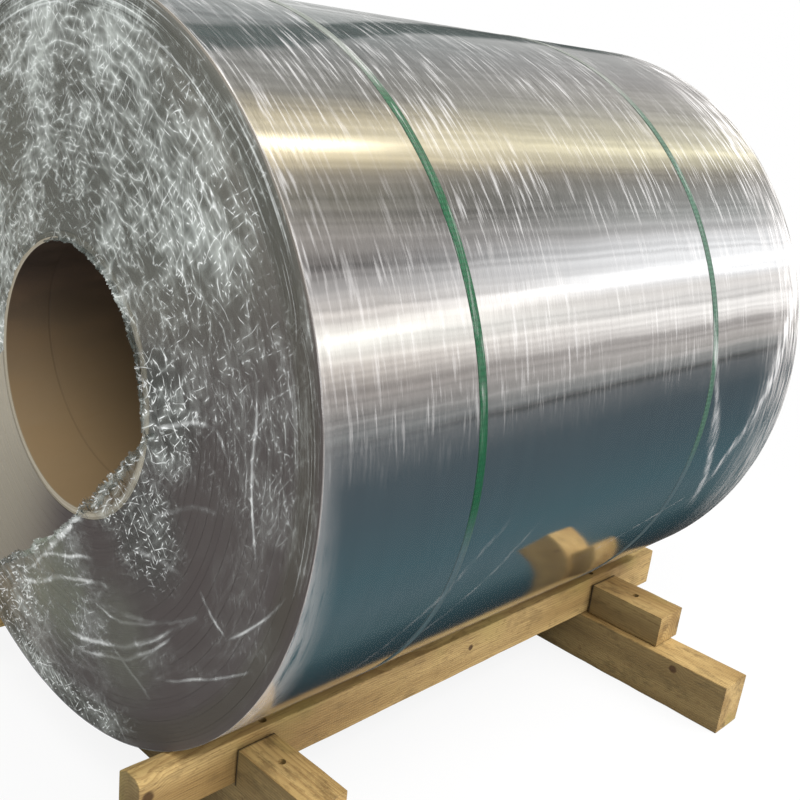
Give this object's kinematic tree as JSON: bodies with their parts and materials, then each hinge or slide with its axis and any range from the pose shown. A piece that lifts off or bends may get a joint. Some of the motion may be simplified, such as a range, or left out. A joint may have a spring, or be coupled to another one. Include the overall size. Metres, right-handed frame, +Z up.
{
  "type": "aluminium strip coil",
  "caption": "Coil of bright aluminium strip on a paper core, strapped and wrapped in clear stretch film, lying on a timber cradle of bearers, stop blocks and cross beams.",
  "frame": {"origin": "on the floor below the middle of the coil, at the middle of the box's underside", "axes": "+X along the coil's axis towards its right end, +Y towards the back bearer, +Z up"},
  "size_m": [1.694, 1.672, 1.5531],
  "materials": {
    "strip": "bright mill finish, edges of the laps matt on the ends",
    "paperboard": "spirally wound brown paperboard",
    "strap": "embossed green polyester strap",
    "film": "clear stretch film, crinkled on the ends",
    "timber": "rough sawn pine, untreated",
    "spike": "plain steel"
  },
  "bodies": {
    "root": {"strip_coil": "strip", "core_tube": "paperboard", "strap_left": "strap", "strap_right": "strap", "stretch_film": "film", "cross_beam_left": "timber", "cross_beam_right": "timber", "bearer_front": "timber", "bearer_back": "timber", "stop_front_left": "timber", "stop_front_right": "timber", "stop_back_left": "timber", "stop_back_right": "timber", "stop_spikes": "spike", "bearer_spikes": "spike"}
  },
  "joints": []
}
